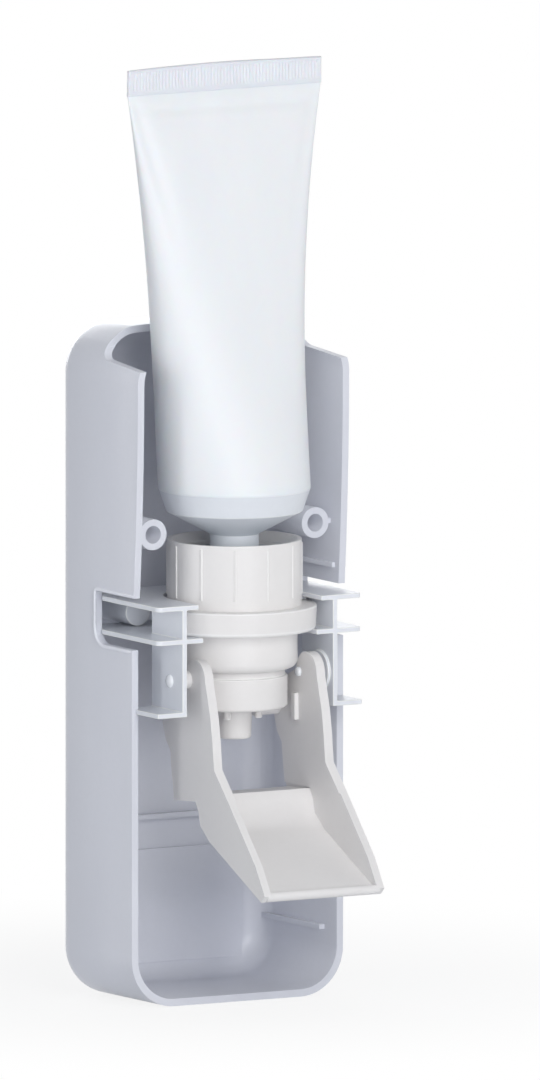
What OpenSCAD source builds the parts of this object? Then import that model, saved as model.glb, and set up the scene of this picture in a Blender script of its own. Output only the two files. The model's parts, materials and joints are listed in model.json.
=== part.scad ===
// Wall-hung toothpaste dispenser with its front cover off: a vacuum pump worked by a brush lever.
// Millimetres. Heights count from the housing's bottom and depths from its front rim, until
// in_frame() moves every piece so that the origin is the centre of the face that sticks to the wall.

/* [Housing] */
// Width of the rear housing
housing_w = 60; // [58:1:70]
// Height of the rear housing
housing_h = 166; // [162:1:180]
// Depth of the rear housing from the front rim to the back
housing_d = 38; // [36:1:46]
// Wall thickness of the housing
housing_wall = 1.8; // [1.4:0.1:2.2]
// Corner radius seen from the front
corner_r = 12; // [9:0.5:16]
// Rounding of the edges round the back
back_edge_r = 8; // [5:0.5:9]
// How far the rim bows forward near the top
rim_bow = 3; // [1:0.5:4]
// Height of the scoop cut into the top corners
scoop_h = 8.5; // [6:0.5:10]
// Depth of that scoop behind the rim
scoop_d = 17; // [12:0.5:19]
// Depth of the side notches for the shelves
notch_d = 17.5; // [15:0.5:19]
// Height of the cover screw bosses
boss_z = 116.6; // [112:0.2:122]
// Spacing of the cover screw bosses
boss_spacing = 46; // [44:1:48]
// Outer radius of a cover screw boss
boss_r = 3.8; // [3:0.1:4]
// Bore radius of a cover screw boss
boss_bore_r = 2.2; // [1.5:0.1:2.4]
// Height of the ledge across the lower back wall
ledge_z = 41.5; // [36:0.5:46]

/* [Bracket] */
// Thickness of the shelves
shelf_t = 1.2; // [1:0.1:1.6]
// How far the shelves stand out in front of the rim
shelf_reach = 11; // [9:0.5:13]
// Width across the shelves where they pass the notches
shelf_w = 58; // [56.5:0.5:59]
// Thickness of the upright side plates
plate_t = 1.3; // [1.1:0.1:1.8]
// Distance between the inner faces of the side plates
plate_gap = 41.4; // [41.2:0.1:43]
// Depth of a side plate from front to back
plate_d = 15.1; // [13:0.1:18]
// How far the side plates hang below the pivot
plate_drop = 8.3; // [6.5:0.1:9]

/* [Pump] */
// Height of the pump cylinder's lower edge
pump_z = 82.5; // [80:0.5:85]
// Distance of the pump axis behind the rim
pump_y = 1.5; // [1:0.1:2.5]
// Outer radius of the pump cylinder
cylinder_r = 15.5; // [15.2:0.1:15.7]
// Height of the pump cylinder below the flange shelf
cylinder_h = 8.3; // [7.5:0.1:10]
// Radius of the pump flange
flange_r = 20.2; // [19.4:0.1:20.3]
// Height of the pump flange
flange_h = 6.1; // [5:0.1:7]
// Outer radius of the tube collar
collar_r = 16.5; // [16.2:0.1:17.5]
// Height of the tube collar above the flange
collar_h = 16.2; // [15.5:0.1:18]
// Number of grip ribs round the collar
collar_ribs = 12; // [8:1:16]
// Radius of the plunger cup
cup_r = 13; // [12.6:0.1:13.1]
// Height of the plunger cup that shows below the cylinder
cup_h = 8; // [7:0.1:8.6]
// Height of the dark groove between cylinder and cup
groove_h = 1.7; // [1.2:0.1:2]
// Radius of the nozzle
nozzle_r = 4.4; // [3.8:0.1:5]
// Length of the nozzle below the cup
nozzle_h = 7.8; // [6:0.1:9]
// Radius of the paste channel
channel_r = 2.4; // [2:0.1:2.8]

/* [Return spring] */
// Mean radius of the spring's coil
coil_r = 8; // [7.6:0.1:8.4]
// Radius of the spring's wire
wire_r = 0.6; // [0.4:0.05:0.7]
// Number of turns
coil_turns = 7; // [5:1:8]

/* [Lever] */
// Distance of the pivot axis in front of the rim
pivot_reach = 4.8; // [4.4:0.1:5.4]
// How far the pivot axis lies below the pump cylinder's lower edge
pivot_drop = 1.4; // [1.3:0.1:2]
// Thickness of a lever arm
arm_t = 2.4; // [1.8:0.1:2.6]
// Gap between the plunger cup and the lever arms
arm_gap = 1.6; // [1.4:0.1:1.8]
// Radius of a pivot pin
pin_r = 1.2; // [1:0.05:1.4]
// Radial running clearance of the lever on its pins
pin_clearance = 0.06; // [0.03:0.01:0.1]
// Distance of the lift fingers behind the pivot
finger_y = 10.4; // [9.5:0.1:10.6]
// Radius of a lift finger
finger_r = 1.5; // [1.2:0.1:1.7]
// How far the front edge of the tray lies in front of the pivot
tray_reach = 37.4; // [35:0.2:42]
// How far the front edge of the tray lies below the pivot
tray_drop = 51.1; // [50:0.1:54]

/* [Tube] */
// Radius of the round end of the tube
tube_r = 18.7; // [17.5:0.1:18.9]
// Width of the flat crimp
crimp_w = 55; // [50:0.5:58]
// Height of the crimp band
crimp_h = 6.4; // [4:0.2:8]
// Length of the tube body between shoulder and crimp
tube_len = 98.2; // [80:0.2:120]
// How far the crimp leans back from the pump axis
tube_lean = 5; // [0:0.5:6]
// Radius of the tube's neck
neck_r = 6; // [5.4:0.1:6.5]
// Height of the cone of the tube's shoulder
shoulder_h = 5.7; // [5:0.1:6.4]
// Height of the steep skirt between that cone and the tube's body
skirt_h = 5.7; // [4:0.1:6.4]

/* [Wall plate] */
// Width of the wall plate
wall_plate_w = 44; // [38:1:46]
// Height of the wall plate
wall_plate_h = 46; // [42:1:50]
// Thickness of the wall plate
wall_plate_t = 2.4; // [2:0.1:3]
// Thickness of the adhesive pad
pad_t = 0.9; // [0.6:0.1:1.2]
// Width of a hanging hook
hook_w = 8; // [6:0.5:9]
// Height of the tongue of a hanging hook
hook_h = 9; // [8:0.5:10]
// Distance of a hook from the middle
hook_x = 14; // [12:0.5:15]

/* [Hidden] */
$fn = 72;
// Clearance between pieces that move past each other
clear = 0.3;
// Radial clearance of a close running fit
running = 0.05;
// Overlap that lets a cutter pass a face cleanly
over = 1;

// Levels of the pump stack, from the nozzle's tip up to the crimp
cup_z = pump_z - groove_h - cup_h;
mid_shelf_z = pump_z + cylinder_h;
flange_z = mid_shelf_z + shelf_t;
collar_z = flange_z + flange_h;
hold_gap = 1;
top_shelf_z = collar_z + hold_gap;
collar_top = collar_z + collar_h;
lip_t = 1.2;
lip_z = collar_z - 2;
seat_z = lip_z + lip_t;
seat_t = 1.6;
seal_z = seat_z + seat_t;
seal_step = 5.9;
seal_h = collar_top - 3 - seal_z;
neck_z = seal_z + seal_step + clear;
shoulder_z = collar_top + 1.2;
skirt_z = shoulder_z + shoulder_h;
tube_z = skirt_z + skirt_h;
crimp_z = tube_z + tube_len;

// Radii inside the pump
bore_r = cup_r + clear;
neck_outer_r = cylinder_r - 1;
lip_r = cylinder_r + 0.2;
seat_r = bore_r + 1.2;
seal_r = bore_r - 0.1;
floor_t = 3;
spring_floor_z = cup_z + floor_t;
piston_r = cup_r - 0.6;
piston_seal_z = pump_z + 2;
piston_seal_h = 2.4;
piston_top = piston_seal_z + piston_seal_h + lip_t;
outlet_r = 4;
outlet_t = 0.8;
umbrella_r = 5.2;
umbrella_t = 0.8;
stem_r = 1;

// Places across the width and depth
half_w = housing_w / 2;
inner_half_w = half_w - housing_wall;
inner_back = housing_d - housing_wall;
shelf_back = 26;
plate_x = plate_gap / 2;
arm_in = cup_r + arm_gap;
arm_out = arm_in + arm_t;
bearing_t = 0.8;
bearing_r = 5;
lever_boss_r = 2.2;
pivot_y = -pivot_reach;
pivot_z = pump_z - pivot_drop;
post_x = half_w - 11.5;
post_r = 3.4;
post_z = (flange_z + top_shelf_z) / 2;
screw_r = 1.5;
screw_head_r = 2.85;
screw_depth = 14;
peg_r = 0.9;

// Levels of the lever, measured from its pivot
finger_z = cup_z - clear - finger_r - pivot_z;
crease_z = -28;

// Wall side
wall_plate_y = housing_d + clear;
wall_y = wall_plate_y + wall_plate_t + pad_t;
hook_neck_h = 3;
hook_t = 1.5;
lift_travel = hook_h - hook_neck_h + clear;
wall_plate_z = post_z + screw_head_r + lift_travel + clear + wall_plate_h / 2;
hook_z = wall_plate_z + 4;
bumper_r = 5;
bumper_x = 16;
bumper_z = 14;

// Moves a piece from the housing's own levels to the frame of the wall face
module in_frame() {
    translate([0, -wall_y, -wall_plate_z]) children();
}

// Puts a piece that turns about the pump's axis in its place
module on_pump_axis() {
    in_frame() translate([0, pump_y, 0]) children();
}

// Two mirrored copies of a feature that lies on the right side
module both_sides() {
    children();
    mirror([1, 0, 0]) children();
}

// Upright box from a low corner to a high corner
module block(low, high) {
    translate(low) cube(high - low);
}

// Cylinder along X between two places across the width
module rod_x(r, x_low, x_high, y, z) {
    translate([x_low, y, z]) rotate([0, 90, 0]) cylinder(r = r, h = x_high - x_low);
}

// Cylinder along Y between two depths
module rod_y(r, y_low, y_high, x, z) {
    translate([x, y_low, z]) rotate([-90, 0, 0]) cylinder(r = r, h = y_high - y_low);
}

// Ring or disc that turns about Z, between two levels
module ring(r_out, r_in, z_low, z_high) {
    translate([0, 0, z_low]) linear_extrude(z_high - z_low) difference() {
        circle(r_out);
        if (r_in > 0) circle(r_in);
    }
}

// Side outline in the depth and height plane, extruded across the width
module side_profile(x_low, x_high) {
    translate([x_low, 0, 0]) rotate([90, 0, 90]) linear_extrude(x_high - x_low) children();
}

// Rectangle with round corners about the origin
module soft_rect(w, h, r) {
    square([w, h - 2 * r], center = true);
    square([w - 2 * r, h], center = true);
    for (x = [-1, 1], y = [-1, 1])
        translate([x * (w / 2 - r), y * (h / 2 - r)]) circle(r);
}

// Half outline of a tray: straight side, rounded lower edge
module tray_outline(w, d, edge) {
    translate([0, edge]) square([w, d - edge]);
    square([w - edge, d]);
    intersection() {
        translate([w - edge, edge]) circle(edge);
        translate([w - edge, 0]) square(edge);
    }
}

// Tray lying on its back: round corners in plan, rounded edge round the floor
module soft_tray(w, h, d, corner, edge) {
    for (x = [-1, 1], y = [-1, 1])
        translate([x * (w / 2 - corner), y * (h / 2 - corner), 0])
            rotate_extrude() tray_outline(corner, d, edge);
    for (turn = [0, 180]) rotate([0, 0, turn]) {
        rotate([90, 0, 0]) translate([0, 0, corner - h / 2])
            linear_extrude(h - 2 * corner) tray_outline(w / 2, d, edge);
        rotate([90, 0, 90]) translate([0, 0, corner - w / 2])
            linear_extrude(w - 2 * corner) tray_outline(h / 2, d, edge);
    }
}

// The same tray stood up, with its floor at depth y_back and open to the front
module standing_tray(w, h, d, y_back, corner, edge) {
    translate([0, y_back, housing_h / 2]) rotate([90, 0, 0]) soft_tray(w, h, d, corner, edge);
}

// Everything in front of the rim line, seen from the side: straight below, bowed above the notch
module front_cutter() {
    bow_z = housing_h - scoop_h - 1;
    bow_r = (pow(bow_z - flange_z, 2) + pow(rim_bow, 2)) / (2 * rim_bow);
    side_profile(-half_w - over, half_w + over) difference() {
        translate([-rim_bow - 2 * over, -over]) square([rim_bow + 2 * over, housing_h + 2 * over]);
        intersection() {
            translate([bow_r - rim_bow, bow_z]) circle(bow_r, $fn = 360);
            translate([-rim_bow - over, flange_z])
                square([rim_bow + over, housing_h + over - flange_z]);
        }
    }
}

// Scoop that opens both top corners, and the sweep in the top wall that lets the tube through
module top_cutter() {
    scoop_z = housing_h - scoop_h;
    corner = 4;
    rise = 1.2;
    side_profile(-half_w - over, half_w + over) {
        polygon([
            [-rim_bow - over, scoop_z], [scoop_d - corner, scoop_z + rise],
            [scoop_d - corner, housing_h + over], [-rim_bow - over, housing_h + over]
        ]);
        translate([scoop_d - corner, scoop_z + rise + corner]) circle(corner);
        translate([scoop_d - corner, scoop_z + rise + corner])
            square([corner, scoop_h]);
    }
    sweep_back = pump_y + tube_r + 1.2;
    sweep_half = half_w - 5;
    sweep_r = (pow(sweep_half, 2) + pow(sweep_back - scoop_d, 2)) / (2 * (sweep_back - scoop_d));
    translate([0, sweep_back - sweep_r, scoop_z + scoop_h / 2])
        cylinder(r = sweep_r, h = scoop_h, $fn = 180);
}

// Notch in both side walls that the shelves pass through
module notch_cutter() {
    low = mid_shelf_z - 2.2;
    high = top_shelf_z + 2.4;
    corner = 4;
    side_profile(-half_w - over, half_w + over) {
        translate([-rim_bow - over, low]) square([notch_d - corner + rim_bow + over, high - low]);
        translate([-rim_bow - over, low + corner]) square([notch_d + rim_bow + over, high - low - corner]);
        translate([notch_d - corner, low + corner]) circle(corner);
    }
}

module cover_boss() {
    x = boss_spacing / 2;
    face_y = 1.6;
    web_t = 1.2;
    rod_y(boss_r, face_y, inner_back + housing_wall / 2, x, boss_z);
    block([x, face_y + 1.4, boss_z - web_t / 2],
        [inner_half_w + housing_wall / 2, inner_back, boss_z + web_t / 2]);
}

// Ribs and ledges inside the shell
module housing_ribs() {
    wall_mid = inner_half_w + housing_wall / 2;
    back_mid = inner_back + housing_wall / 2;
    rib_t = 1.2;
    block([-inner_half_w, inner_back - 2, ledge_z], [inner_half_w, back_mid, ledge_z + rib_t]);
    block([8 - half_w, inner_back - 0.8, 6], [half_w - 8, back_mid, ledge_z - 7.5]);
    both_sides() {
        block([inner_half_w - 1.5, 6, 15.4], [wall_mid, back_mid - 2, 15.4 + rib_t]);
        block([inner_half_w - 0.8, 1, top_shelf_z + 6.2],
            [wall_mid, back_mid - 2, top_shelf_z + 6.2 + rib_t]);
    }
}

module rear_housing() {
    color("#e6eaf0") in_frame() difference() {
        union() {
            difference() {
                standing_tray(housing_w, housing_h, housing_d + rim_bow, housing_d, corner_r, back_edge_r);
                standing_tray(housing_w - 2 * housing_wall, housing_h - 2 * housing_wall,
                    housing_d + rim_bow + over, inner_back,
                    corner_r - housing_wall, back_edge_r - housing_wall);
            }
            intersection() {
                union() {
                    both_sides() cover_boss();
                    housing_ribs();
                }
                standing_tray(housing_w - housing_wall, housing_h - housing_wall, housing_d,
                    housing_d - housing_wall / 2,
                    corner_r - housing_wall / 2, back_edge_r - housing_wall / 2);
            }
        }
        front_cutter();
        top_cutter();
        notch_cutter();
        both_sides() {
            rod_y(boss_bore_r, 0, inner_back - over, boss_spacing / 2, boss_z);
            rod_y(screw_r + 2 * running, inner_back - over, housing_d + over, post_x, post_z);
            block([hook_x - hook_w / 2 - clear, inner_back - over, hook_z - lift_travel - clear],
                [hook_x + hook_w / 2 + clear, housing_d + over, hook_z + hook_neck_h + clear]);
        }
    }
}

module wall_bumper() {
    color("#8d9096") in_frame() rod_y(bumper_r, housing_d, wall_y, bumper_x, bumper_z);
}

module wall_bumper_right() wall_bumper();

module wall_bumper_left() mirror([1, 0, 0]) wall_bumper();

module adhesive_pad() {
    margin = 2;
    color("#c9ccd1") in_frame() translate([0, wall_y, wall_plate_z]) rotate([90, 0, 0])
        linear_extrude(pad_t) soft_rect(wall_plate_w - 2 * margin, wall_plate_h - 2 * margin, 3);
}

// Hook of the wall plate: a neck through the housing's back wall and an upright tongue
module hook() {
    tongue_y = inner_back - clear - hook_t;
    block([hook_x - hook_w / 2, tongue_y, hook_z],
        [hook_x + hook_w / 2, wall_plate_y + over / 2, hook_z + hook_neck_h]);
    block([hook_x - hook_w / 2, tongue_y, hook_z],
        [hook_x + hook_w / 2, tongue_y + hook_t, hook_z + hook_h]);
}

module wall_plate() {
    color("#f0f0ee") in_frame() {
        translate([0, wall_plate_y + wall_plate_t, wall_plate_z]) rotate([90, 0, 0])
            linear_extrude(wall_plate_t) soft_rect(wall_plate_w, wall_plate_h, 5);
        both_sides() hook();
    }
}

// Plan of a shelf with the slot that the pump slides into from the front
module shelf_plan(slot_r) {
    corner = 1.5;
    inside_half = inner_half_w - clear;
    difference() {
        union() {
            translate([0, (notch_d - clear - shelf_reach) / 2])
                soft_rect(shelf_w, notch_d - clear + shelf_reach, corner);
            translate([-inside_half, 0]) square([2 * inside_half, shelf_back]);
        }
        translate([0, pump_y]) circle(slot_r);
        translate([-slot_r, -shelf_reach - over]) square([2 * slot_r, shelf_reach + over + pump_y]);
    }
}

// Right side plate with its bearing, its lower shelf and the rib that holds the flange down
module bracket_side() {
    bottom = pivot_z - plate_drop;
    lip_x = shelf_w / 2;
    inside_half = inner_half_w - clear;
    block([plate_x, -shelf_reach, bottom], [plate_x + plate_t, plate_d - shelf_reach, top_shelf_z]);
    rod_x(bearing_r, plate_x - bearing_t, plate_x, pivot_y, pivot_z);
    block([plate_x, -shelf_reach, bottom], [lip_x, -clear, bottom + shelf_t]);
    block([plate_x, -shelf_reach, bottom], [inside_half, plate_d - shelf_reach, bottom + shelf_t]);
    block([collar_r + 1.6, pump_y - 1.5, collar_z], [flange_r - 0.6, pump_y + 1.5, top_shelf_z]);
    rod_y(post_r, flange_r * 0.75 + pump_y, inner_back, post_x, post_z);
}

module pump_bracket() {
    color("#eef1f5") in_frame() difference() {
        union() {
            translate([0, 0, mid_shelf_z]) linear_extrude(shelf_t) shelf_plan(cylinder_r + 2 * clear);
            translate([0, 0, top_shelf_z]) linear_extrude(shelf_t) shelf_plan(collar_r + 3 * clear);
            both_sides() bracket_side();
        }
        both_sides() {
            rod_x(pin_r + running / 2, plate_x - bearing_t - over, plate_x + plate_t + over,
                pivot_y, pivot_z);
            rod_y(screw_r + running, housing_d - screw_depth - 2, inner_back + over, post_x, post_z);
        }
    }
}

module bracket_screw() {
    head_t = 1.6;
    recess_r = 1.1;
    color("#b9bcc2") in_frame() difference() {
        union() {
            rod_y(screw_r, housing_d - screw_depth, housing_d, post_x, post_z);
            rod_y(screw_head_r, housing_d, housing_d + head_t, post_x, post_z);
        }
        rod_y(recess_r, housing_d + head_t / 2, housing_d + head_t + over, post_x, post_z);
    }
}

module bracket_screw_right() bracket_screw();

module bracket_screw_left() mirror([1, 0, 0]) bracket_screw();

module pivot_pin() {
    head_r = 1.7;
    head_t = 0.8;
    color("#f6f7f9") in_frame() {
        rod_x(pin_r, arm_in - 0.2, plate_x + plate_t, pivot_y, pivot_z);
        rod_x(head_r, plate_x + plate_t, plate_x + plate_t + head_t, pivot_y, pivot_z);
    }
}

module pivot_pin_right() pivot_pin();

module pivot_pin_left() mirror([1, 0, 0]) pivot_pin();

// Wide drum that rests on the middle shelf and carries the cylinder by its lip
module pump_flange() {
    color("#efedea") on_pump_axis() rotate_extrude() difference() {
        polygon([
            [0, flange_z], [flange_r - 0.8, flange_z], [flange_r - 0.2, flange_z + 0.6],
            [flange_r, collar_z], [0, collar_z]
        ]);
        square([neck_outer_r + running, collar_z + over]);
        translate([0, lip_z]) square([lip_r + running, flange_h]);
    }
}

// Cylinder with a round lower edge, hung from the flange by a lip
module pump_cylinder() {
    edge = cylinder_r - bore_r;
    color("#f1efec") on_pump_axis() rotate_extrude() {
        translate([bore_r, pump_z + edge]) square([edge, flange_z - pump_z - edge]);
        intersection() {
            translate([bore_r, pump_z + edge]) circle(edge);
            translate([bore_r, pump_z]) square(edge);
        }
        translate([bore_r, pump_z + edge]) square([neck_outer_r - bore_r, lip_z - pump_z - edge]);
        translate([bore_r, lip_z]) square([lip_r - bore_r, lip_t]);
    }
}

// Collar screwed on the flange: it traps the cylinder's lip and the valve seat
module tube_collar() {
    rib_r = 0.42;
    color("#f4f3f1") on_pump_axis() {
        rotate_extrude() difference() {
            union() {
                translate([0, collar_z]) square([collar_r, collar_h]);
                translate([0, seat_z]) square([lip_r, collar_z - seat_z]);
            }
            translate([0, seat_z - over]) square([seat_r + running, seat_t + over]);
            square([bore_r, collar_top + over]);
            polygon([
                [bore_r - over, collar_top - 2 - over], [bore_r, collar_top - 2],
                [collar_r - 1, collar_top], [collar_r - 1, collar_top + over],
                [bore_r - over, collar_top + over]
            ]);
        }
        for (turn = [0 : 360 / collar_ribs : 359]) rotate([0, 0, turn])
            translate([collar_r - 0.2, 0, top_shelf_z + shelf_t + clear])
                cylinder(r = rib_r, h = collar_top - 1 - top_shelf_z - shelf_t - clear, $fn = 24);
    }
}

// Disc with ports that the inlet valve closes from below
module valve_seat() {
    port_r = 1;
    port_ring_r = 3.2;
    ports = 6;
    color("#dfe3e8") on_pump_axis() difference() {
        ring(seat_r, stem_r + running, seat_z, seal_z);
        for (turn = [0 : 360 / ports : 359]) rotate([0, 0, turn])
            translate([port_ring_r, 0, seat_z - over]) cylinder(r = port_r, h = seat_t + 2 * over);
    }
}

// Umbrella of soft rubber on a stem through the seat
module inlet_valve() {
    bead_r = 1.5;
    color("#b7c4cf") on_pump_axis() {
        ring(umbrella_r, 0, seat_z - umbrella_t, seat_z);
        ring(stem_r, 0, seat_z, seal_z);
        translate([0, 0, seal_z]) cylinder(r1 = bead_r, r2 = stem_r, h = 1.4);
    }
}

// Rubber sleeve that grips the neck of the tube
module neck_seal() {
    lead = 1.5;
    color("#c3ccd4") on_pump_axis() rotate_extrude() difference() {
        translate([0, seal_z]) square([seal_r, seal_h]);
        square([neck_r - 1.5, seal_z + seal_h + over]);
        translate([0, seal_z + seal_step]) square([neck_r + running + 0.03, seal_h]);
        polygon([
            [0, seal_z + seal_h - lead], [neck_r + running, seal_z + seal_h - lead],
            [neck_r + running + lead, seal_z + seal_h + 0.01], [0, seal_z + seal_h + 0.01]
        ]);
    }
}

// Centre line of the spring: a helix whose height rises evenly
end_play = 0.15;
spring_low = spring_floor_z + wire_r + end_play;
spring_high = seat_z - wire_r - end_play;
coil_rings = 8;
coil_steps = coil_turns * coil_rings;
function coil_point(i) = [
    coil_r * cos(360 * i / coil_rings),
    coil_r * sin(360 * i / coil_rings),
    spring_low + (spring_high - spring_low) * i / coil_steps
];
// One corner of the wire's section at a step of the helix
wire_sides = 6;
function wire_corner(i, k) =
    let (turn = 360 * i / coil_rings, side = 360 * k / wire_sides)
    coil_point(i) + wire_r * [cos(side) * cos(turn), cos(side) * sin(turn), sin(side)];
// Least distance from the wire to its own neighbouring turns, measured on the centre line
coil_gap = min([
    for (i = [0 : coil_steps], j = [0 : coil_steps])
        if (j - i >= coil_rings / 2) norm(coil_point(j) - coil_point(i)) - 2 * wire_r
]);
echo(spring_least_gap_mm = coil_gap);

module return_spring() {
    points = [for (i = [0 : coil_steps], k = [0 : wire_sides - 1]) wire_corner(i, k)];
    skin = [
        for (i = [0 : coil_steps - 1], k = [0 : wire_sides - 1])
            let (a = i * wire_sides + k, b = i * wire_sides + (k + 1) % wire_sides)
            each [[a, a + wire_sides, b], [b, a + wire_sides, b + wire_sides]]
    ];
    first_cap = [for (k = [1 : wire_sides - 2]) [0, k, k + 1]];
    last = coil_steps * wire_sides;
    last_cap = [for (k = [1 : wire_sides - 2]) [last, last + k + 1, last + k]];
    color("#aeb3ba") on_pump_axis() polyhedron(points, concat(skin, first_cap, last_cap));
}

// Cup that shows below the cylinder, with the piston that works inside it
module plunger_cup() {
    inner_r = piston_r - 1.8;
    groove_r = piston_r - 0.9;
    edge = 0.8;
    peg_place = 6;
    peg_h = 2.7;
    color("#f3f1ee") on_pump_axis() {
        rotate_extrude() difference() {
            union() {
                translate([0, cup_z + edge]) square([cup_r, cup_h - edge]);
                translate([0, cup_z]) square([cup_r - edge, cup_h]);
                translate([cup_r - edge, cup_z + edge]) circle(edge, $fn = 32);
                translate([0, cup_z + cup_h]) square([piston_r, piston_seal_z - cup_z - cup_h]);
                square([groove_r, piston_top]);
                translate([0, piston_top - lip_t]) square([piston_r, lip_t]);
            }
            translate([0, spring_floor_z]) square([inner_r, piston_top]);
            translate([0, -over]) square([channel_r + 0.6, piston_top]);
            translate([0, -over]) square([piston_r + over, cup_z + over]);
            translate([0, spring_floor_z - outlet_t]) square([outlet_r + running, floor_t]);
        }
        for (side = [-42, 222]) rotate([0, 0, side])
            translate([peg_place, 0, cup_z - peg_h]) cylinder(r = peg_r, h = peg_h, $fn = 32);
    }
}

// Rubber ring in the piston's groove
module piston_seal() {
    color("#9fa8b1") on_pump_axis() rotate_extrude() difference() {
        translate([piston_r - 0.9 + running, piston_seal_z + running])
            square([bore_r - running - piston_r + 0.9 - running, piston_seal_h - 2 * running]);
        translate([bore_r + 0.1, piston_seal_z + piston_seal_h / 2]) circle(0.6, $fn = 32);
    }
}

// Duckbill that opens downwards when the pump is squeezed
module outlet_valve() {
    bill_h = 4;
    color("#b7c4cf") on_pump_axis() difference() {
        union() {
            ring(outlet_r, 0, spring_floor_z - outlet_t, spring_floor_z);
            translate([0, 0, spring_floor_z - outlet_t - bill_h])
                cylinder(r1 = 1, r2 = channel_r + 0.4, h = bill_h);
        }
        block([-0.1, 1 - channel_r, cup_z - 3], [0.1, channel_r - 1, spring_floor_z + over]);
    }
}

module nozzle() {
    chamfer = 0.6;
    color("#efece4") on_pump_axis() rotate_extrude() difference() {
        polygon([
            [0, cup_z - nozzle_h], [nozzle_r - chamfer, cup_z - nozzle_h],
            [nozzle_r - 0.3, cup_z - nozzle_h + chamfer], [nozzle_r, cup_z], [0, cup_z]
        ]);
        translate([0, -over]) square([channel_r + 0.6, cup_z + 2 * over]);
    }
}

// Lower edge of the lever from its front corner to the back of the tray, from the pivot
tray_edge = [
    [1.7 - tray_reach, -tray_drop], [-10.6, -38.9], [-6.2, -35.5],
    [-5.2, -31.9], [-3.7, -29.7], [6.5, -30.4]
];
// Rear and upper edge of an arm, up to the round head
arm_back = [
    [7.8, -23], [8.4, -18.3], [10.6, -15.8], [finger_y + 1.7, -11.6],
    [finger_y + 1.7, -7.5], [8, -2.5], [1, 0.8]
];
// Front edge of an arm from the round head down to the front corner
arm_front = [
    [-8.3, 2], [-8.6, 0], [-11, -8.2], [-12, -14], [-12.8, -21], [17.6 - tray_reach, -28.3],
    [4.6 - tray_reach, 8.7 - tray_drop], [-tray_reach, 1.6 - tray_drop]
];

module arm_outline() {
    head_r = 4.9;
    polygon(concat(tray_edge, arm_back, arm_front));
    translate([-3.6, 0.4]) circle(head_r);
}

// Section of the tray's floor: the lower edge given a thickness
module tray_section() {
    shift = [-0.9, 1.4];
    last = len(tray_edge) - 1;
    polygon(concat(tray_edge, [for (i = [last : -1 : 0]) tray_edge[i] + shift]));
    translate(tray_edge[0] + [-0.4, 1.3]) circle(1.2, $fn = 32);
}

// Right arm with its pivot boss, lift finger and upright rib, from the pivot
module lever_side() {
    crease_depth = 0.4;
    boss_end = plate_x - bearing_t - clear;
    difference() {
        side_profile(arm_in, arm_out) arm_outline();
        side_profile(arm_in - over, arm_in + crease_depth) intersection() {
            arm_outline();
            translate([-tray_reach - over, -tray_drop - over])
                square([tray_reach + 12, tray_drop + crease_z + over]);
        }
    }
    rod_x(lever_boss_r, arm_out - arm_t / 2, boss_end, 0, 0);
    rod_x(finger_r, cup_r - 5.4, arm_out - arm_t / 2, finger_y, finger_z);
    block([cup_r + 0.5, 0.2, -11.9], [arm_in + arm_t / 2, 1.8, -5.3]);
}

module lever() {
    color("#f1f0ee") in_frame() translate([0, pivot_y, pivot_z]) difference() {
        union() {
            both_sides() lever_side();
            side_profile(-arm_in - arm_t / 2, arm_in + arm_t / 2) tray_section();
        }
        both_sides() rod_x(pin_r + pin_clearance, arm_in - over, plate_x, 0, 0);
    }
}

// Moulded shoulder of the tube with its neck, standing head down
module tube_shoulder() {
    shell = 1.2;
    skirt_r = tube_r - 1.9;
    inset = 1.5;
    bore = neck_r - 1.6;
    color("#f7f8fa") on_pump_axis() rotate_extrude() difference() {
        union() {
            translate([0, neck_z]) square([neck_r, shoulder_z - neck_z + shell]);
            polygon([
                [0, shoulder_z], [neck_r, shoulder_z], [skirt_r, skirt_z], [tube_r, tube_z], [0, tube_z]
            ]);
        }
        translate([0, neck_z - over]) square([bore, shoulder_h + collar_h + over]);
        polygon([
            [0, shoulder_z + shell], [neck_r - 0.4, shoulder_z + shell], [skirt_r - inset, skirt_z + 0.4],
            [tube_r - inset, tube_z], [tube_r - inset, tube_z + over], [0, tube_z + over]
        ]);
    }
}

// Skin of the soft tube: round at the shoulder, a slight waist, drawn flat and back into the crimp
tube_sides = 56;
tube_rows = 18;
crimp_t = 1.2;
waist_share = 0.065;
function tube_waist(t) = 1 - waist_share * pow(sin(180 * t), 1.2);
// Point of the skin at a share t of the tube's length and at a turn round it
function tube_point(t, turn) =
    let (
        half = (crimp_w / 2 - 0.1) * t * tube_waist(t),
        r = tube_r * pow(1 - t, 1.08) * tube_waist(t),
        spread = cos(turn) * (1.5 - 0.5 * pow(cos(turn), 2)),
        back = tube_lean * (1 - pow(1 - t, 2.2)),
        across = r + 0.45 * crimp_t * t
    )
    [half * spread + r * cos(turn), back + across * sin(turn), tube_z + t * (tube_len + 0.2)];

module tube_body() {
    points = [
        for (i = [0 : tube_rows], k = [0 : tube_sides - 1]) tube_point(i / tube_rows, 360 * k / tube_sides)
    ];
    skin = [
        for (i = [0 : tube_rows - 1], k = [0 : tube_sides - 1])
            let (a = i * tube_sides + k, b = i * tube_sides + (k + 1) % tube_sides)
            each [[a, a + tube_sides, b], [b, a + tube_sides, b + tube_sides]]
    ];
    lower_cap = [for (k = [1 : tube_sides - 2]) [0, k, k + 1]];
    last = tube_rows * tube_sides;
    upper_cap = [for (k = [1 : tube_sides - 2]) [last, last + k + 1, last + k]];
    color("#fafbfc") on_pump_axis() {
        polyhedron(points, concat(skin, lower_cap, upper_cap));
        translate([-crimp_w / 2, tube_lean - crimp_t / 2, crimp_z]) cube([crimp_w, crimp_t, crimp_h]);
    }
}

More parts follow.
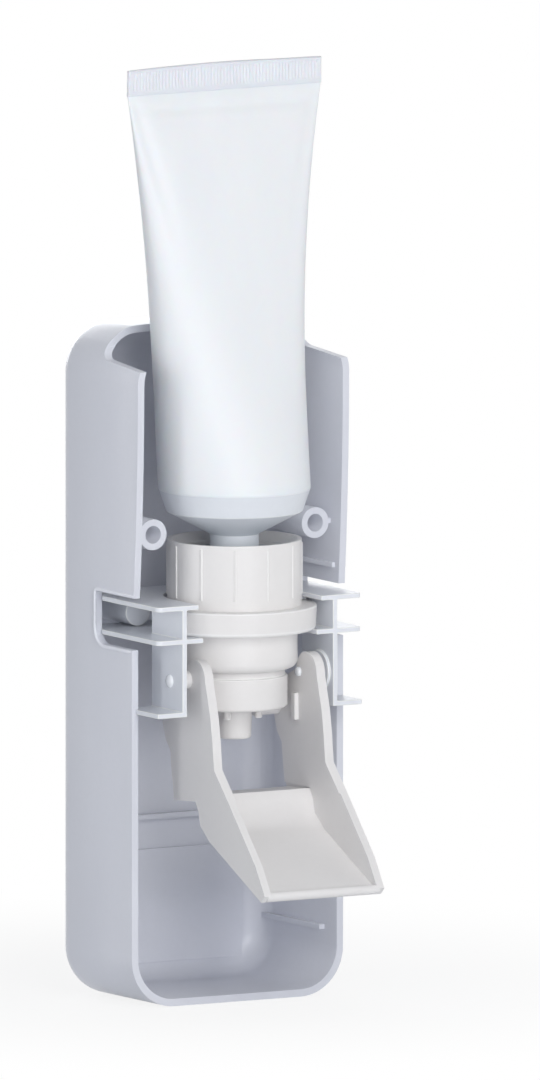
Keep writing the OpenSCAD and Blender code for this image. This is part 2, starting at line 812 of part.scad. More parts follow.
adhesive_pad();
wall_plate();
rear_housing();
wall_bumper_left();
wall_bumper_right();
pump_bracket();
bracket_screw_left();
bracket_screw_right();
pivot_pin_left();
pivot_pin_right();
pump_flange();
pump_cylinder();
tube_collar();
valve_seat();
inlet_valve();
neck_seal();
return_spring();
plunger_cup();
piston_seal();
outlet_valve();
nozzle();
lever();
tube_shoulder();
tube_body();
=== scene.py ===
import json
import math

import bmesh
import bpy
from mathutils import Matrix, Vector, noise


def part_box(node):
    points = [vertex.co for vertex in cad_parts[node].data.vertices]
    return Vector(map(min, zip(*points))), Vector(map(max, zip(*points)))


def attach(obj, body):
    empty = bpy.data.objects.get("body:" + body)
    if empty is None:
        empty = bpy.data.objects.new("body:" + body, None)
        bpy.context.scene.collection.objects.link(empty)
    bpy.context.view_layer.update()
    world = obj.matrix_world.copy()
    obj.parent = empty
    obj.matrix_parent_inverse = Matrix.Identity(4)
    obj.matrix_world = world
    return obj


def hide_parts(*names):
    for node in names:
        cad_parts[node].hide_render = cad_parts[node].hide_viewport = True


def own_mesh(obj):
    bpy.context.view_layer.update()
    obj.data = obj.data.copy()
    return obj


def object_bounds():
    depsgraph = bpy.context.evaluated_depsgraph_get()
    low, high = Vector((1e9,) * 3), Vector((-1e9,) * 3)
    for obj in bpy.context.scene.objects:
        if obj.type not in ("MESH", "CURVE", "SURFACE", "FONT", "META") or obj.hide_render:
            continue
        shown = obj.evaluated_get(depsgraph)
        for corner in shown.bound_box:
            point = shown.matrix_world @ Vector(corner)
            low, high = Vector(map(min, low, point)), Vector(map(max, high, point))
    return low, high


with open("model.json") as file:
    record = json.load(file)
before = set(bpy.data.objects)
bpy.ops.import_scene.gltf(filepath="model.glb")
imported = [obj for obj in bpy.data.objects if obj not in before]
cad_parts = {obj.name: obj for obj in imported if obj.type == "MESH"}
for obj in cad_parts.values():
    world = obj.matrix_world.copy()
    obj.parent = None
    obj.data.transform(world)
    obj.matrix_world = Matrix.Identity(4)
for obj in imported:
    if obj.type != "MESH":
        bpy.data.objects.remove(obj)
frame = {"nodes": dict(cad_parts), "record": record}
cad_low, cad_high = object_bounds()

MM = 0.001
TAU = 2 * math.pi
SIDES = ((-1, "left"), (1, "right"))

# Sizes shared with part.scad, in millimetres of the housing:
# x to the right, y back from the front rim, z up from the housing's bottom
HOUSING_D = 38
WALL_OUT = 30
PUMP_Y = 1.5

shell_low, shell_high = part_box("rear_housing")
RIM_Y = shell_high.y - HOUSING_D * MM


def at(x, y, z):
    """A place in housing millimetres as a point of the frame, in metres."""
    return Vector((x * MM, RIM_Y + y * MM, shell_low.z + z * MM))


def smoothstep(a, b, v):
    t = min(1.0, max(0.0, (v - a) / (b - a)))
    return t * t * (3 - 2 * t)


def band(v, a, b, c, d):
    """1 from b to c, falling smoothly to 0 at a and at d."""
    return smoothstep(a, b, v) * (1 - smoothstep(c, d, v))


def bell(v, centre, width):
    return math.exp(-((v - centre) / width) ** 2)


# ---------------------------------------------------------------- materials

class Shader:
    """A Principled material, with short calls for the procedural nodes that feed it.

    Texture scales are per metre of the object: 1000 gives features of about 1 mm.
    """

    def __init__(self, name):
        self.material = bpy.data.materials.new(name)
        self.material.use_nodes = True
        self.nodes = self.material.node_tree.nodes
        self.links = self.material.node_tree.links
        self.bsdf = self.nodes["Principled BSDF"]
        self.obj = self.nodes.new("ShaderNodeTexCoord").outputs["Object"]

    def node(self, kind, values):
        new = self.nodes.new(kind)
        for name, value in values.items():
            new.inputs[name].default_value = value
        return new

    def feed(self, name, source):
        self.links.new(source, self.bsdf.inputs[name])

    def set(self, values):
        for name, value in values.items():
            self.bsdf.inputs[name].default_value = value

    def noise(self, scale, detail, stretch=None):
        tex = self.node("ShaderNodeTexNoise", {"Scale": scale, "Detail": detail})
        coord = self.obj
        if stretch:
            mapping = self.node("ShaderNodeMapping", {"Scale": stretch})
            self.links.new(coord, mapping.inputs["Vector"])
            coord = mapping.outputs["Vector"]
        self.links.new(coord, tex.inputs["Vector"])
        return tex.outputs["Fac"]

    def ramp(self, source, first, last):
        """Colour between two stops, each a place and a colour."""
        node = self.nodes.new("ShaderNodeValToRGB")
        self.links.new(source, node.inputs["Fac"])
        for element, (place, colour) in zip(node.color_ramp.elements, (first, last)):
            element.position, element.color = place, (*colour, 1)
        return node.outputs["Color"]

    def ranged(self, source, low, high, start=0.3, end=0.7):
        node = self.node("ShaderNodeMapRange", {
            "From Min": start, "From Max": end, "To Min": low, "To Max": high})
        self.links.new(source, node.inputs["Value"])
        return node.outputs["Result"]

    def mix(self, factor, base, colour):
        node = self.nodes.new("ShaderNodeMix")
        node.data_type = "RGBA"
        self.links.new(factor, node.inputs[0])
        self.links.new(base, node.inputs[6])
        node.inputs[7].default_value = (*colour, 1)
        return node.outputs[2]

    def math(self, operation, source, value):
        node = self.nodes.new("ShaderNodeMath")
        node.operation = operation
        self.links.new(source, node.inputs[0])
        node.inputs[1].default_value = value
        return node.outputs[0]

    def bump(self, height, strength, distance, below=None):
        node = self.node("ShaderNodeBump", {"Strength": strength, "Distance": distance})
        self.links.new(height, node.inputs["Height"])
        if below:
            self.links.new(below, node.inputs["Normal"])
        return node.outputs["Normal"]


# The housing's walls look crowned from just ahead of the rim to this far behind it (metres)
CROWN_AHEAD, CROWN_REACH = 0.004, 0.030


def crown(shader, slope):
    """Normal of a wall that falls away towards the rim, steepest at the rim itself."""
    parts = shader.nodes.new("ShaderNodeSeparateXYZ")
    shader.links.new(shader.obj, parts.inputs["Vector"])
    depth = shader.ranged(parts.outputs["Y"], 1, 0, RIM_Y - CROWN_AHEAD, RIM_Y + CROWN_REACH)
    fall = -0.5 * slope * (CROWN_REACH + CROWN_AHEAD)
    height = shader.math("MULTIPLY", shader.math("POWER", depth, 2), fall)
    return shader.bump(height, strength=1, distance=1)


def plastic(name, dark, light, rough, coat, slope=0.0):
    """Moulded plastic: flow marks in the colour, rubbed patches in the gloss, fine mould grain."""
    s = Shader(name)
    flow = s.noise(scale=38, detail=4, stretch=(1, 1, 0.45))
    speck = s.ranged(s.noise(scale=700, detail=3), 0.0, 0.10)
    base = s.ramp(flow, (0.30, dark), (0.72, light))
    s.feed("Base Color", s.mix(speck, base, tuple(v * 0.90 for v in dark)))
    smear = s.noise(scale=70, detail=2, stretch=(1, 1, 0.6))
    s.feed("Roughness", s.ranged(smear, *rough))
    sink = s.bump(s.noise(scale=55, detail=1), strength=0.10, distance=0.0004,
                  below=crown(s, slope) if slope else None)
    grain = s.noise(scale=2600, detail=2)
    s.feed("Normal", s.bump(grain, strength=0.06, distance=0.00012, below=sink))
    s.set({"Coat Weight": coat, "Coat Roughness": 0.12, "Specular IOR Level": 0.45})
    return s.material


def rubber(name, dark, light, rough=(0.45, 0.62), grain=0.25):
    s = Shader(name)
    s.feed("Base Color", s.ramp(s.noise(scale=220, detail=6), (0.3, dark), (0.7, light)))
    s.feed("Roughness", s.ranged(s.noise(scale=500, detail=3), *rough))
    s.feed("Normal", s.bump(s.noise(scale=1400, detail=3), strength=grain, distance=0.0002))
    s.set({"Sheen Weight": 0.15})
    return s.material


def foam(name, dark, light):
    """Closed-cell foam tape: the cells show in colour, gloss and relief."""
    s = Shader(name)
    tex = s.node("ShaderNodeTexVoronoi", {"Scale": 1500})
    s.links.new(s.obj, tex.inputs["Vector"])
    cells = tex.outputs["Distance"]
    s.feed("Base Color", s.ramp(cells, (0.0, dark), (0.6, light)))
    s.feed("Roughness", s.ranged(cells, 0.7, 0.9))
    s.feed("Normal", s.bump(cells, strength=0.5, distance=0.0002))
    return s.material


def steel(name, dark, light):
    """Drawn or turned steel with fine streaks."""
    s = Shader(name)
    streaks = s.noise(scale=900, detail=5, stretch=(1, 1, 12))
    s.feed("Base Color", s.ramp(streaks, (0.3, dark), (0.7, light)))
    s.feed("Roughness", s.ranged(streaks, 0.18, 0.34))
    s.feed("Normal", s.bump(streaks, strength=0.12, distance=0.00008))
    s.set({"Metallic": 1.0})
    return s.material


def laminate(name, dark, light):
    """Soft glossy tube laminate: faint upright streaks, shallow dents in the gloss."""
    s = Shader(name)
    streaks = s.noise(scale=60, detail=3, stretch=(1, 1, 0.12))
    s.feed("Base Color", s.ramp(streaks, (0.3, dark), (0.7, light)))
    smear = s.noise(scale=60, detail=3, stretch=(1, 1, 0.3))
    s.feed("Roughness", s.ranged(smear, 0.46, 0.56))
    dents = s.bump(s.noise(scale=45, detail=2, stretch=(1, 1, 0.5)), strength=0.20, distance=0.0012)
    fine = s.noise(scale=1800, detail=2, stretch=(1, 1, 0.25))
    s.feed("Normal", s.bump(fine, strength=0.05, distance=0.0001, below=dents))
    s.set({"Coat Weight": 0.12, "Coat Roughness": 0.35,
           "Subsurface Weight": 0.15, "Subsurface Scale": 0.004})
    return s.material


# Record slot: darker and lighter colour of the flow marks, and the finish
PLASTICS = {
    "housing": ((0.700, 0.716, 0.780), (0.742, 0.757, 0.818),
                dict(rough=(0.30, 0.36), coat=0.22, slope=0.62)),
    "bracket": ((0.800, 0.825, 0.875), (0.840, 0.862, 0.905), dict(rough=(0.30, 0.38), coat=0.2)),
    "pump": ((0.825, 0.808, 0.798), (0.862, 0.846, 0.834), dict(rough=(0.34, 0.44), coat=0.12)),
    "lever": ((0.815, 0.800, 0.795), (0.852, 0.838, 0.832), dict(rough=(0.36, 0.46), coat=0.1)),
    "pin": ((0.860, 0.885, 0.920), (0.890, 0.910, 0.940), dict(rough=(0.10, 0.16), coat=0.6)),
    "shoulder": ((0.760, 0.790, 0.835), (0.800, 0.830, 0.870), dict(rough=(0.34, 0.44), coat=0.1)),
    "wall_plate": ((0.780, 0.785, 0.790), (0.820, 0.825, 0.830), dict(rough=(0.42, 0.52), coat=0.0)),
}
MATERIALS = {
    **{slot_name: plastic(slot_name + "_plastic", dark, light, **finish)
       for slot_name, (dark, light, finish) in PLASTICS.items()},
    "tube": laminate("tube_laminate", (0.850, 0.874, 0.900), (0.885, 0.902, 0.920)),
    "silicone": rubber("valve_silicone", (0.46, 0.53, 0.58), (0.54, 0.60, 0.65), (0.28, 0.40), 0.10),
    "seal": rubber("seal_rubber", (0.32, 0.36, 0.40), (0.40, 0.44, 0.48)),
    "bumper": rubber("bumper_rubber", (0.26, 0.27, 0.29), (0.34, 0.35, 0.37)),
    "adhesive": foam("adhesive_foam", (0.62, 0.63, 0.65), (0.80, 0.81, 0.83)),
    "spring": steel("spring_steel", (0.42, 0.43, 0.45), (0.56, 0.57, 0.59)),
    "screw": steel("screw_steel", (0.46, 0.47, 0.49), (0.60, 0.61, 0.63)),
}
# The same plastics painted paler, as a painted highlight on the bevelled edges and the notch lips
EDGE_HIGHLIGHTS = {
    slot_name: plastic(slot_name + "_edge", tuple(min(0.92, v + 0.10) for v in dark),
                       tuple(min(0.93, v + 0.10) for v in light), **{**finish, "coat": 0.2})
    for slot_name, (dark, light, finish) in PLASTICS.items()
}
# Darker, bluer copy of the tube laminate for the crimp: painted shade
CRIMP_SHADED_LAMINATE = laminate("crimp_shaded_laminate", (0.775, 0.795, 0.850), (0.815, 0.832, 0.880))
SLOT_OF = {s["node"]: s["material_slot"] for s in frame["record"]["subparts"]}


# ---------------------------------------------------------------- CAD nodes: material and soft edges

# Width of the rounded edges in millimetres
SOFT_EDGE = {
    "rear_housing": 0.45, "pump_bracket": 0.28, "lever": 0.55, "pump_flange": 0.4, "pump_cylinder": 0.3,
    "tube_collar": 0.3, "plunger_cup": 0.3, "nozzle": 0.25, "wall_plate": 0.4, "adhesive_pad": 0.15,
    "wall_bumper_left": 0.6, "wall_bumper_right": 0.6, "neck_seal": 0.2, "valve_seat": 0.15,
    "inlet_valve": 0.1, "outlet_valve": 0.1, "piston_seal": 0.15, "tube_shoulder": 0.2,
    "bracket_screw_left": 0.15, "bracket_screw_right": 0.15,
    "pivot_pin_left": 0.2, "pivot_pin_right": 0.2,
}
WELD_GAP = 2e-6
FLAT_ANGLE = math.radians(0.4)
EDGE_ANGLE = math.radians(38)


def soften(obj, width):
    """Rounds a solid's sharp edges with modifiers, to catch the light as moulded edges do; the bevel
    faces get the last material slot, a painted highlight where that is the paler edge copy.
    """
    mesh = obj.data
    for name in [a.name for a in mesh.attributes if a.name == "custom_normal"]:
        mesh.attributes.remove(mesh.attributes[name])
    mesh.shade_smooth()
    weld = obj.modifiers.new("weld", "WELD")
    weld.merge_threshold = WELD_GAP
    flat = obj.modifiers.new("flat", "DECIMATE")
    flat.decimate_type = "DISSOLVE"
    flat.angle_limit = FLAT_ANGLE
    if width:
        bevel = obj.modifiers.new("edge", "BEVEL")
        bevel.width = width * MM
        bevel.segments = 3
        bevel.limit_method = "ANGLE"
        bevel.angle_limit = EDGE_ANGLE
        bevel.use_clamp_overlap = True
        bevel.miter_outer = "MITER_ARC"
        bevel.harden_normals = False
        # bevel faces take the last slot: the paler copy where there is one, a painted highlight on the
        # edges
        bevel.material = len(mesh.materials) - 1
    normals = obj.modifiers.new("normals", "WEIGHTED_NORMAL")
    normals.keep_sharp = True
    normals.weight = 50


for node_name, node_obj in frame["nodes"].items():
    node_slot = SLOT_OF[node_name]
    node_obj.data.materials.clear()
    node_obj.data.materials.append(MATERIALS[node_slot])
    # second slot: the paler copy of the plastic, a painted highlight for the bevels
    if node_slot in EDGE_HIGHLIGHTS:
        node_obj.data.materials.append(EDGE_HIGHLIGHTS[node_slot])
    soften(node_obj, SOFT_EDGE.get(node_name, 0))


# ---------------------------------------------------------------- helpers for new pieces

def piece(name, bm, slot_name, body, finish=None):
    """Object made from a closed mesh, moved with a body; finish is a material other than the slot's."""
    mesh = bpy.data.meshes.new(name)
    bmesh.ops.recalc_face_normals(bm, faces=bm.faces)
    bm.to_mesh(mesh)
    bm.free()
    mesh.shade_smooth()
    mesh.materials.append(finish or MATERIALS[slot_name])
    obj = bpy.data.objects.new(name, mesh)
    bpy.context.scene.collection.objects.link(obj)
    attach(obj, body)
    return obj


def loft(rows):
    """Mesh through rows of points, each a closed ring, with both ends closed."""
    bm = bmesh.new()
    rings = [[bm.verts.new(point) for point in row] for row in rows]
    around = len(rings[0])
    for low, high in zip(rings, rings[1:]):
        for k in range(around):
            bm.faces.new((low[k], low[(k + 1) % around], high[(k + 1) % around], high[k]))
    bm.faces.new(list(reversed(rings[0])))
    bm.faces.new(rings[-1])
    return bm


def turned(centre, axis, profile, around, shift=None):
    """Surface of revolution: profile rows are (distance along the axis, radius) in mm from the centre.

    shift(row, turn) may change a point's place along the axis and its radius.
    """
    axis = Vector(axis)
    side = Vector((0, 0, 1)) if abs(axis.z) < 0.5 else Vector((1, 0, 0))
    across = axis.cross(side)
    rows = []
    for row, (along, radius) in enumerate(profile):
        ring = []
        for k in range(around):
            a = TAU * k / around
            more_along, more_radius = shift(row, a) if shift else (0, 0)
            r = max(1e-3, radius + more_radius)
            out = side * math.cos(a) + across * math.sin(a)
            ring.append(centre + (axis * (along + more_along) + out * r) * MM)
        rows.append(ring)
    return loft(rows)


# ---------------------------------------------------------------- tube

# The tube from its shoulder to its crimp, as in part.scad
TUBE_Z = 126.9
CRIMP_Z = 225.1
CRIMP_H = 6.4
CRIMP_HALF = 27.5
TUBE_R = 18.7
TUBE_LEAN = 5
TUBE_WAIST = 0.065
TUBE_AROUND, TUBE_ROWS = 192, 150
CRIMP_COLS, CRIMP_ROWS = 440, 26
CRIMP_HALF_T = 0.52
TICK_PITCH, TICK_DEPTH = 0.92, 0.28


def tube_section(t, a):
    """A point of the tube's skin: t runs from the shoulder to the crimp, a round the tube."""
    waist = 1 - TUBE_WAIST * max(0.0, math.sin(math.pi * t)) ** 1.2
    half = CRIMP_HALF * t * waist
    r = TUBE_R * (1 - t) ** 1.08 * waist
    c, s = math.cos(a), math.sin(a)
    spread = c * (1.5 - 0.5 * c * c)
    x = half * spread + r * c
    y = (r + 0.55 * t) * s
    lean = TUBE_LEAN * (1 - (1 - t) ** 2.2)
    # shallow hand dents, on both broad faces
    place = Vector((c * 1.1 + 3.1, s * 1.1 - 1.7, t * 2.6))
    dent = noise.noise(place) * 0.6 * math.sin(math.pi * t) ** 0.7
    # long creases that start at the crimp's corners and run inwards as they go down
    crease = -0.55 * bell(abs(c), 0.80 - 0.55 * (1 - t), 0.09) * band(t, 0.45, 0.9, 0.96, 1)
    ripple = 0.22 * math.sin(c * 9 + 1.2) * band(t, 0.80, 0.95, 0.97, 1)
    # fold across the front and back, just under the crimp
    fold = -0.60 * bell(t, 0.955, 0.014) * (1 - smoothstep(0.55, 0.9, abs(c - 0.05)))
    y += (dent + crease + ripple + fold) * s
    # lap seam down the back
    y += 0.16 * band(c + 0.02, 0.0, 0.05, 0.30, 0.36) * max(0.0, s) ** 4 * (1 - t)
    return x, PUMP_Y + lean + y, TUBE_Z + t * (CRIMP_Z - TUBE_Z)


def build_tube():
    turns = [TAU * k / TUBE_AROUND for k in range(TUBE_AROUND)]
    # rolled lower edge where the skin is welded to the shoulder: how far in, how far down
    rolled = ((1.2, 0.4), (0.45, 0.55), (0.08, 0.35))
    rows = []
    for inset, drop in rolled:
        r = TUBE_R - inset
        rows.append([at(r * math.cos(a), PUMP_Y + r * math.sin(a), TUBE_Z - drop) for a in turns])
    rows += [[at(*tube_section(i / TUBE_ROWS, a)) for a in turns] for i in range(TUBE_ROWS + 1)]
    skin = piece("tube_skin", loft(rows), "tube", "tube")
    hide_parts("tube_body")


def crimp_point(i, j, side):
    """A point on the front (side -1) or back (side 1) of the crimp, column i and row j."""
    x = (2 * i / CRIMP_COLS - 1) * CRIMP_HALF
    v = j / CRIMP_ROWS
    z = CRIMP_Z - 0.5 + v * (CRIMP_H + 0.5)
    inside = band(v, 0.16, 0.24, 0.80, 0.88) * smoothstep(CRIMP_HALF - 0.6, CRIMP_HALF - 2.0, abs(x))
    tick = (0.5 + 0.5 * math.cos(TAU * x / TICK_PITCH)) ** 0.7
    tick *= 0.75 + 0.35 * noise.noise(Vector((x * 0.35, v * 2.0, side * 3.0)))
    seal = 0.10 * (1 - smoothstep(0.10, 0.16, v)) + 0.06 * smoothstep(0.88, 0.94, v)
    round_top = math.sqrt(max(0.0, 1 - max(0.0, (v - 0.965) / 0.035) ** 2))
    round_side = math.sqrt(max(0.0, 1 - max(0.0, (abs(x) - CRIMP_HALF + 0.4) / 0.4) ** 2))
    depth = (CRIMP_HALF_T - TICK_DEPTH * inside * tick + seal) * round_top * round_side
    wave = 0.35 * math.sin(x * 0.11 + 0.6) + 0.18 * math.sin(x * 0.31)
    top = 0.16 * math.sin(x * 0.13 + 2) * v - 0.25 * v * (abs(x) / CRIMP_HALF) ** 6
    return at(x, PUMP_Y + TUBE_LEAN + side * depth + wave * 0.55 * v, z + top - 0.1 * v)


def build_crimp():
    """Flat sealed end: two layers pressed with upright ticks, a smooth margin and a soft top edge."""
    bm = bmesh.new()
    cols, rows = range(CRIMP_COLS), range(CRIMP_ROWS)
    front, rear = ([[bm.verts.new(crimp_point(i, j, side)) for i in range(CRIMP_COLS + 1)]
                    for j in range(CRIMP_ROWS + 1)] for side in (-1, 1))
    for j in rows:
        for i in cols:
            bm.faces.new((front[j][i], front[j][i + 1], front[j + 1][i + 1], front[j + 1][i]))
            bm.faces.new((rear[j][i + 1], rear[j][i], rear[j + 1][i], rear[j + 1][i + 1]))
        bm.faces.new((front[j][0], front[j + 1][0], rear[j + 1][0], rear[j][0]))
        bm.faces.new((front[j + 1][-1], front[j][-1], rear[j][-1], rear[j + 1][-1]))
    for i in cols:
        bm.faces.new((front[-1][i], front[-1][i + 1], rear[-1][i + 1], rear[-1][i]))
        bm.faces.new((rear[0][i], rear[0][i + 1], front[0][i + 1], front[0][i]))
    bmesh.ops.remove_doubles(bm, verts=bm.verts, dist=1e-6)
    # the crimp wears the darker laminate copy: painted shade
    crimp = piece("tube_crimp", bm, "tube", "tube", CRIMP_SHADED_LAMINATE)
    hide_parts("tube_body")


# ---------------------------------------------------------------- lips round the notches

# The notches of the side walls, as in part.scad, and the lip's half width, height and sunk foot
NOTCH_Y, NOTCH_LOW, NOTCH_HIGH, NOTCH_R = 17.5, 88.6, 101.5, 4
LIP_HALF, LIP_H, LIP_SUNK = 0.45, 0.34, 0.12
LIP_TOP_R = 1.0
LIP_STEP = 0.5


def lip_path():
    """Outline of the notch, half the lip's width outside it: (y, z) from the upper rim to the lower."""
    upper, lower, back = NOTCH_HIGH + LIP_HALF, NOTCH_LOW - LIP_HALF, NOTCH_Y + LIP_HALF
    low_y, low_z, low_r = NOTCH_Y - NOTCH_R, NOTCH_LOW + NOTCH_R, NOTCH_R + LIP_HALF
    points = [(-0.75 + i * LIP_STEP, upper) for i in range(36)]
    points += [(back - LIP_TOP_R * (1 - math.sin(i * math.pi / 16)),
                upper - LIP_TOP_R * (1 - math.cos(i * math.pi / 16))) for i in range(9)]
    points += [(back, low_z + (14 - i) * LIP_STEP) for i in range(14)]
    points += [(low_y + low_r * math.cos(i * math.pi / 40),
                low_z - low_r * math.sin(i * math.pi / 40)) for i in range(21)]
    points += [(low_y - i * LIP_STEP, lower) for i in range(1, 27)]
    return points


def build_lip(side, name):
    """Thin half-round lip on the outer wall, tapered where it meets the rim, painted paler: a painted
    highlight round the notch.
    """
    points = lip_path()
    last = len(points) - 1
    arc = [k * math.pi / 10 for k in range(11)]
    section = [(LIP_HALF * math.cos(a), LIP_H * math.sin(a)) for a in arc]
    section += [(-LIP_HALF, -LIP_SUNK), (LIP_HALF, -LIP_SUNK)]
    rows = []
    for i, (y, z) in enumerate(points):
        y0, z0 = points[max(0, i - 1)]
        y1, z1 = points[min(last, i + 1)]
        along = Vector((0, y1 - y0, z1 - z0)).normalized()
        size = 0.25 + 0.75 * smoothstep(0, 3, min(i, last - i))
        rows.append([at(side * (WALL_OUT + height * size),
                        y - along.z * across * size,
                        z + along.y * across * size) for across, height in section])
    # the lip takes the paler edge copy of the housing plastic: painted highlight
    piece(name, loft(rows), "housing", "dispenser", EDGE_HIGHLIGHTS["housing"])


# ---------------------------------------------------------------- pins, screws and spring

# Where part.scad has the pins, the screws and the spring
PIVOT_Y, PIVOT_Z = -4.8, 81.1
PLATE_OUT = 22.0
SCREW_X, SCREW_Z = 18.5, 95.55
SPRING_LOW, SPRING_HIGH, SPRING_TURNS = 75.95, 96.95, 7
COIL_R, WIRE_R = 8.0, 0.6


def build_pin(side, name):
    """Pivot pin with a polished domed head and a chamfered shaft."""
    profile = [(-8.2, 0.5), (-8.15, 0.95), (-7.9, 1.14), (-7.6, 1.2)]
    profile += [(-0.02, 1.2), (0.0, 1.25), (0.01, 1.62)]
    profile += [(0.04 + 0.74 * math.sin(k * math.pi / 24), 0.02 + 1.68 * math.cos(k * math.pi / 24))
                for k in range(12)]
    profile.append((0.785, 0.06))
    surface = turned(at(side * PLATE_OUT, PIVOT_Y, PIVOT_Z), (side, 0, 0), profile, 48)
    pin = piece(name + "_domed", surface, "pin", "dispenser")
    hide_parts(name)


def build_screw(side, name):
    """Self-tapping pan-head screw: cross recess, sharp thread, tapered tip."""
    tip = [(-13.95 + i * 0.25, 0.15 + i * 0.12) for i in range(9)]
    shaft = [(-11.95 + i * 0.078, 1.18) for i in range(1, 150)]
    collar = [(-0.25, 1.2), (-0.04, 1.3), (0.0, 2.2), (0.02, 2.7), (0.14, 2.84)]
    dome = [(0.35 + 1.22 * math.sin(k * math.pi / 60), 2.85 * math.cos(k * math.pi / 60))
            for k in range(30)]
    rows = tip + shaft + collar + dome
    thread_end = len(tip) + len(shaft)
    dome_start = thread_end + len(collar)

    def shift(row, a):
        along, radius = rows[row]
        if row < thread_end:
            turn = (along / 1.05 - a / TAU) % 1.0
            ridge = max(0.0, 1 - abs(turn - 0.5) / 0.22)
            return 0, 0.28 * ridge * band(along, -13.9, -12.6, -1.0, -0.4)
        if row >= dome_start:
            to_arm = min(abs(math.sin(a)), abs(math.cos(a))) * radius
            depth = (1 - smoothstep(0.28, 0.42, to_arm)) * (1 - smoothstep(1.35, 1.65, radius))
            return -0.75 * depth, 0
        return 0, 0

    surface = turned(at(side * SCREW_X, HOUSING_D, SCREW_Z), (0, 1, 0), rows, 56, shift)
    screw = piece(name + "_threaded", surface, "screw", "dispenser")
    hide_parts(name)


def build_spring():
    """Round wire with closed ends, tapered at both tips."""
    steps, sides = SPRING_TURNS * 48, 14    # along the wire and round it
    rows = []
    for i in range(steps + 1):
        t = i / steps
        z = SPRING_LOW + (SPRING_HIGH - SPRING_LOW) * t
        a = TAU * SPRING_TURNS * t
        wire = WIRE_R * (1 - 0.35 * (1 - smoothstep(0, 0.006, t)) - 0.35 * smoothstep(0.994, 1, t))
        ring = []
        for k in range(sides):
            b = TAU * k / sides
            r = COIL_R + wire * math.cos(b)
            ring.append(at(r * math.cos(a), PUMP_Y + r * math.sin(a), z + wire * math.sin(b)))
        rows.append(ring)
    spring = piece("return_spring_wire", loft(rows), "spring", "dispenser")
    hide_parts("return_spring")
    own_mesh(spring)


build_tube()
build_crimp()
for side, word in SIDES:
    build_lip(side, "notch_lip_" + word)
for side, word in SIDES:
    build_pin(side, "pivot_pin_" + word)
    build_screw(side, "bracket_screw_" + word)
build_spring()


# ---------------------------------------------------------------- stage, light and camera

FLOOR_HALF = 6
FLOOR_GAP = 0.0002
# The floor fades to the white background between these distances (metres) from the object
FADE_START, FADE_END, FADE_NEAR = 0.09, 0.22, 0.80


def seen_ray(nodes, links):
    """1 for the rays that show the background itself: camera, mirror and see-through rays."""
    path = nodes.new("ShaderNodeLightPath")
    total = path.outputs["Is Camera Ray"]
    for kind in ("Is Glossy Ray", "Is Transmission Ray"):
        either = nodes.new("ShaderNodeMath")
        either.operation = "MAXIMUM"
        links.new(total, either.inputs[0])
        links.new(path.outputs[kind], either.inputs[1])
        total = either.outputs[0]
    return total


def floor_material():
    """Pale matt floor that keeps the object's shadow near it and fades to white further out."""
    s = Shader("floor_white")
    patches = s.noise(scale=3, detail=3)
    s.feed("Base Color", s.ramp(patches, (0.3, (0.86, 0.87, 0.89)), (0.7, (0.90, 0.91, 0.92))))
    s.set({"Roughness": 0.9, "Specular IOR Level": 0.1})
    away = s.nodes.new("ShaderNodeVectorMath")
    away.operation = "LENGTH"
    s.links.new(s.obj, away.inputs[0])
    far = s.node("ShaderNodeMapRange", {
        "From Min": FADE_START, "From Max": FADE_END, "To Min": FADE_NEAR, "To Max": 1.0})
    far.interpolation_type = "SMOOTHSTEP"
    s.links.new(away.outputs["Value"], far.inputs["Value"])
    share = s.nodes.new("ShaderNodeMath")
    share.operation = "MULTIPLY"
    s.links.new(seen_ray(s.nodes, s.links), share.inputs[0])
    s.links.new(far.outputs["Result"], share.inputs[1])
    glow = s.node("ShaderNodeEmission", {"Color": (1, 1, 1, 1)})
    mix = s.nodes.new("ShaderNodeMixShader")
    s.links.new(share.outputs[0], mix.inputs["Fac"])
    s.links.new(s.bsdf.outputs["BSDF"], mix.inputs[1])
    s.links.new(glow.outputs["Emission"], mix.inputs[2])
    s.links.new(mix.outputs["Shader"], s.nodes["Material Output"].inputs["Surface"])
    return s.material


def build_stage():
    z, s = cad_low.z - FLOOR_GAP, FLOOR_HALF
    mesh = bpy.data.meshes.new("floor")
    mesh.from_pydata([(-s, -s, z), (s, -s, z), (s, s, z), (-s, s, z)], [], [(0, 1, 2, 3)])
    mesh.materials.append(floor_material())
    floor = bpy.data.objects.new("floor", mesh)
    bpy.context.scene.collection.objects.link(floor)


def build_world():
    """Faint bluish light from all round, behind a white background."""
    world = bpy.data.worlds.new("studio")
    bpy.context.scene.world = world
    world.use_nodes = True
    nodes, links = world.node_tree.nodes, world.node_tree.links
    nodes.clear()
    mix = nodes.new("ShaderNodeMixShader")
    links.new(seen_ray(nodes, links), mix.inputs["Fac"])
    for place, colour, strength in ((1, (0.86, 0.91, 1.0), 0.16), (2, (1, 1, 1), 1.0)):
        background = nodes.new("ShaderNodeBackground")
        background.inputs["Color"].default_value = (*colour, 1)
        background.inputs["Strength"].default_value = strength
        links.new(background.outputs["Background"], mix.inputs[place])
    links.new(mix.outputs["Shader"], nodes.new("ShaderNodeOutputWorld").inputs["Surface"])


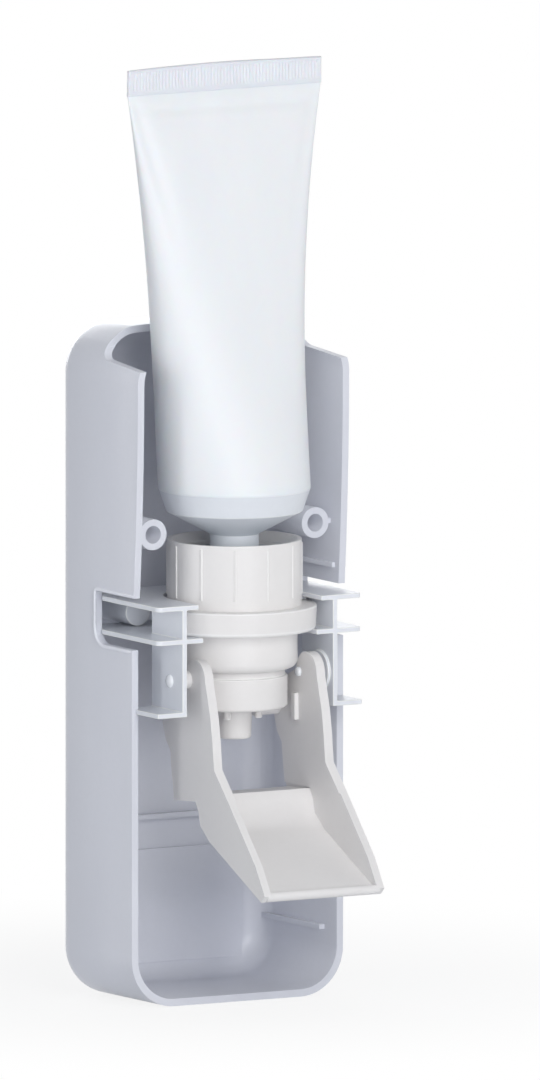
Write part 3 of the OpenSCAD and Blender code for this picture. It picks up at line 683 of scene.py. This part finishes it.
# Where the lamps aim, and each lamp: place and aim from there (metres), size, watts, colour
LAMP_AIM = at(0, 0, 110)
LAMPS = {
    "key": ((-0.20, -1.1, 0.40), (0, 0, 0), (0.6, 0.8), 6.3, (1.0, 0.99, 0.97)),
    "fill": ((-0.62, -0.42, 0.10), (0, 0, 0), (0.5, 0.7), 0.45, (0.93, 0.96, 1.0)),
    "side": ((-0.75, 0.05, 0.05), (0, 0, 0), (0.18, 0.6), 1.05, (0.97, 0.98, 1.0)),
    "right": ((0.75, -0.25, 0.10), (0, 0, 0), (0.4, 0.7), 0.8, (0.97, 0.98, 1.0)),
    "low": ((-0.25, -1.0, -0.01), (0, 0, -0.05), (0.8, 0.16), 1.7, (0.91, 0.93, 1.0)),
    "top": ((0.1, -0.1, 1.1), (0, 0, 0), (0.9, 0.7), 1.6, (0.98, 0.99, 1.0)),
    "back": ((0.25, 1.1, 0.35), (0, 0, 0), (0.8, 0.8), 4.6, (0.97, 0.98, 1.0)),
}


def build_lamp(name, place, aim, size, watts, colour):
    data = bpy.data.lights.new(name, "AREA")
    data.shape = "RECTANGLE"
    data.size, data.size_y = size
    data.energy = watts
    data.color = colour
    lamp = bpy.data.objects.new(name, data)
    bpy.context.scene.collection.objects.link(lamp)
    lamp.location = LAMP_AIM + Vector(place)
    lamp.rotation_mode = "QUATERNION"
    lamp.rotation_quaternion = (Vector(aim) - Vector(place)).to_track_quat("-Z", "Y")
    lamp.visible_camera = False


# The photograph's view: from the left front, a little from above, without perspective
CAMERA_AZ, CAMERA_EL = math.radians(-30.37), math.radians(7.38)
CAMERA_SCALE = 0.2646
CAMERA_AWAY = 2


def build_camera():
    back = Vector((math.sin(CAMERA_AZ) * math.cos(CAMERA_EL),
                   -math.cos(CAMERA_AZ) * math.cos(CAMERA_EL),
                   math.sin(CAMERA_EL)))
    right = Vector((math.cos(CAMERA_AZ), math.sin(CAMERA_AZ), 0))
    up = back.cross(right)
    data = bpy.data.cameras.new("camera")
    data.type = "ORTHO"
    data.ortho_scale = CAMERA_SCALE
    data.clip_start, data.clip_end = 0.01, 20
    camera = bpy.data.objects.new("camera", data)
    bpy.context.scene.collection.objects.link(camera)
    camera.location = at(0, 0, 115) + right * 7.96 * MM - up * 1.0 * MM + back * CAMERA_AWAY
    camera.rotation_mode = "QUATERNION"
    camera.rotation_quaternion = back.to_track_quat("Z", "Y")
    bpy.context.scene.camera = camera


build_stage()
build_world()
build_camera()
for lamp_name, settings in LAMPS.items():
    build_lamp(lamp_name, *settings)
bpy.context.scene.view_settings.view_transform = "Standard"
